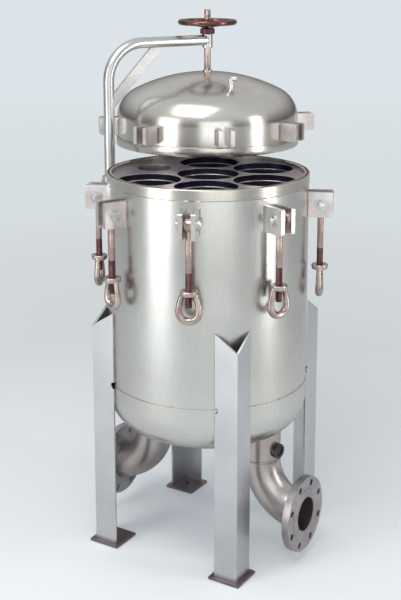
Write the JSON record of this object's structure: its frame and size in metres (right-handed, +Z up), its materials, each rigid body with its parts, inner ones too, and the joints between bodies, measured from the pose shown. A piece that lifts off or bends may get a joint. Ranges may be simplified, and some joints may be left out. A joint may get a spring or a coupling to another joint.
{
  "type": "bag filter housing",
  "caption": "Multi-bag filter vessel on angle legs, with a davit-hung domed lid raised by a handwheel screw, swing bolts with eye nuts, and flanged inlet and outlet elbows",
  "frame": {"origin": "on the floor, on the vessel's axis, at the centre of the anchor-bolt circle", "axes": "+Z up, +X out of the outlet flange"},
  "size_m": [0.9222, 1.0471, 1.629],
  "materials": {
    "shell_steel": "satin brushed stainless, vertical grain",
    "lid_steel": "fine polished stainless",
    "plate_steel": "bright blasted plate",
    "leg_steel": "mill-finished angle",
    "pipe_steel": "pickled pipe",
    "flange_steel": "turned flange",
    "sheet_steel": "satin plate",
    "basket_steel": "perforated sheet",
    "davit_steel": "polished tube",
    "bolt_steel": "machined, warm toned",
    "pin_steel": "bright turned",
    "wheel_steel": "polished, warm toned",
    "collar_red": "dark red washer",
    "seal_rubber": "brown elastomer",
    "plug_black": "black plug"
  },
  "bodies": {
    "vessel": {"shell": "shell_steel", "rim_ring": "shell_steel", "rim_seal": "seal_rubber", "bottom_head": "shell_steel", "girth_weld": "shell_steel", "tube_sheet": "sheet_steel", "basket_1": "basket_steel", "basket_2": "basket_steel", "basket_3": "basket_steel", "basket_4": "basket_steel", "basket_5": "basket_steel", "basket_6": "basket_steel", "outlet_stub": "pipe_steel", "outlet_elbow": "pipe_steel", "outlet_flange": "flange_steel", "inlet_elbow": "pipe_steel", "inlet_flange": "flange_steel", "inlet_standpipe": "pipe_steel", "drain_coupling": "pipe_steel", "drain_plug": "plug_black", "leg_1": "leg_steel", "leg_2": "leg_steel", "leg_3": "leg_steel", "leg_4": "leg_steel", "base_plates": "leg_steel", "clevis_ears": "plate_steel", "clevis_pins": "pin_steel", "pin_washers": "pin_steel", "cotter_pins": "pin_steel", "bracket_lower": "plate_steel", "bracket_upper": "plate_steel"},
    "davit": {"davit_tube": "davit_steel", "davit_sleeve": "davit_steel", "davit_brace": "davit_steel", "post_collar": "plate_steel", "thrust_collar": "collar_red"},
    "handwheel": {"handwheel": "wheel_steel"},
    "lid": {"lid_ring": "lid_steel", "lid_dome": "lid_steel", "lid_lugs": "plate_steel", "lid_boss": "lid_steel", "lift_screw": "pin_steel", "vent_nipple": "pin_steel", "vent_elbow": "pin_steel"},
    "bolt_1": {"swing_bolt_1": "bolt_steel"},
    "nut_1": {"eye_nut_1": "bolt_steel"},
    "bolt_2": {"swing_bolt_2": "bolt_steel"},
    "nut_2": {"eye_nut_2": "bolt_steel"},
    "bolt_3": {"swing_bolt_3": "bolt_steel"},
    "nut_3": {"eye_nut_3": "bolt_steel"},
    "bolt_4": {"swing_bolt_4": "bolt_steel"},
    "nut_4": {"eye_nut_4": "bolt_steel"},
    "bolt_5": {"swing_bolt_5": "bolt_steel"},
    "nut_5": {"eye_nut_5": "bolt_steel"},
    "bolt_6": {"swing_bolt_6": "bolt_steel"},
    "nut_6": {"eye_nut_6": "bolt_steel"},
    "bolt_7": {"swing_bolt_7": "bolt_steel"},
    "nut_7": {"eye_nut_7": "bolt_steel"},
    "bolt_8": {"swing_bolt_8": "bolt_steel"},
    "nut_8": {"eye_nut_8": "bolt_steel"}
  },
  "joints": [
    {"name": "davit_swing", "type": "hinge", "parent": "vessel", "child": "davit", "pos_m": [-0.366, 0, 1], "axis": [0, 0, 1], "range_deg": [-63.5, 80]},
    {"name": "handwheel_turn", "type": "hinge", "parent": "davit", "child": "handwheel", "pos_m": [-0.20269, 0.32755, 1.588], "axis": [0, 0, 1], "range_deg": [-1439, 1655]},
    {"name": "lid_lift", "type": "slide", "parent": "davit", "child": "lid", "axis": [0, 0, 1], "range_m": [-0.023, 0.02]},
    {"name": "bolt_1_swing", "type": "hinge", "parent": "vessel", "child": "bolt_1", "pos_m": [0.3156, 0.13073, 1.076], "axis": [0.3827, -0.9239, 0], "range_deg": [0, 180]},
    {"name": "bolt_2_swing", "type": "hinge", "parent": "vessel", "child": "bolt_2", "pos_m": [0.13073, 0.3156, 1.076], "axis": [0.9239, -0.3827, 0], "range_deg": [0, 95]},
    {"name": "bolt_3_swing", "type": "hinge", "parent": "vessel", "child": "bolt_3", "pos_m": [-0.13073, 0.3156, 1.076], "axis": [0.9239, 0.3827, 0], "range_deg": [0, 95]},
    {"name": "bolt_4_swing", "type": "hinge", "parent": "vessel", "child": "bolt_4", "pos_m": [-0.3156, 0.13073, 1.076], "axis": [0.3827, 0.9239, 0], "range_deg": [0, 95]},
    {"name": "bolt_5_swing", "type": "hinge", "parent": "vessel", "child": "bolt_5", "pos_m": [-0.3156, -0.13073, 1.076], "axis": [-0.3827, 0.9239, 0], "range_deg": [0, 180]},
    {"name": "bolt_6_swing", "type": "hinge", "parent": "vessel", "child": "bolt_6", "pos_m": [-0.13073, -0.3156, 1.076], "axis": [-0.9239, 0.3827, 0], "range_deg": [0, 180]},
    {"name": "bolt_7_swing", "type": "hinge", "parent": "vessel", "child": "bolt_7", "pos_m": [0.13073, -0.3156, 1.076], "axis": [-0.9239, -0.3827, 0], "range_deg": [0, 180]},
    {"name": "bolt_8_swing", "type": "hinge", "parent": "vessel", "child": "bolt_8", "pos_m": [0.3156, -0.13073, 1.076], "axis": [-0.3827, -0.9239, 0], "range_deg": [0, 180]},
    {"name": "nut_1_travel", "type": "slide", "parent": "bolt_1", "child": "nut_1", "axis": [0, 0, -1], "range_m": [-0.003, 0.03]},
    {"name": "nut_2_travel", "type": "slide", "parent": "bolt_2", "child": "nut_2", "axis": [0, 0, -1], "range_m": [-0.003, 0.03]},
    {"name": "nut_3_travel", "type": "slide", "parent": "bolt_3", "child": "nut_3", "axis": [0, 0, -1], "range_m": [-0.003, 0.03]},
    {"name": "nut_4_travel", "type": "slide", "parent": "bolt_4", "child": "nut_4", "axis": [0, 0, -1], "range_m": [-0.003, 0.03]},
    {"name": "nut_5_travel", "type": "slide", "parent": "bolt_5", "child": "nut_5", "axis": [0, 0, -1], "range_m": [-0.003, 0.03]},
    {"name": "nut_6_travel", "type": "slide", "parent": "bolt_6", "child": "nut_6", "axis": [0, 0, -1], "range_m": [-0.003, 0.03]},
    {"name": "nut_7_travel", "type": "slide", "parent": "bolt_7", "child": "nut_7", "axis": [0, 0, -1], "range_m": [-0.003, 0.03]},
    {"name": "nut_8_travel", "type": "slide", "parent": "bolt_8", "child": "nut_8", "axis": [0, 0, -1], "range_m": [-0.003, 0.03]}
  ],
  "couplings": [
    {"joint": "lid_lift", "follows": "handwheel_turn", "m_per_rad": -0.00079577}
  ]
}
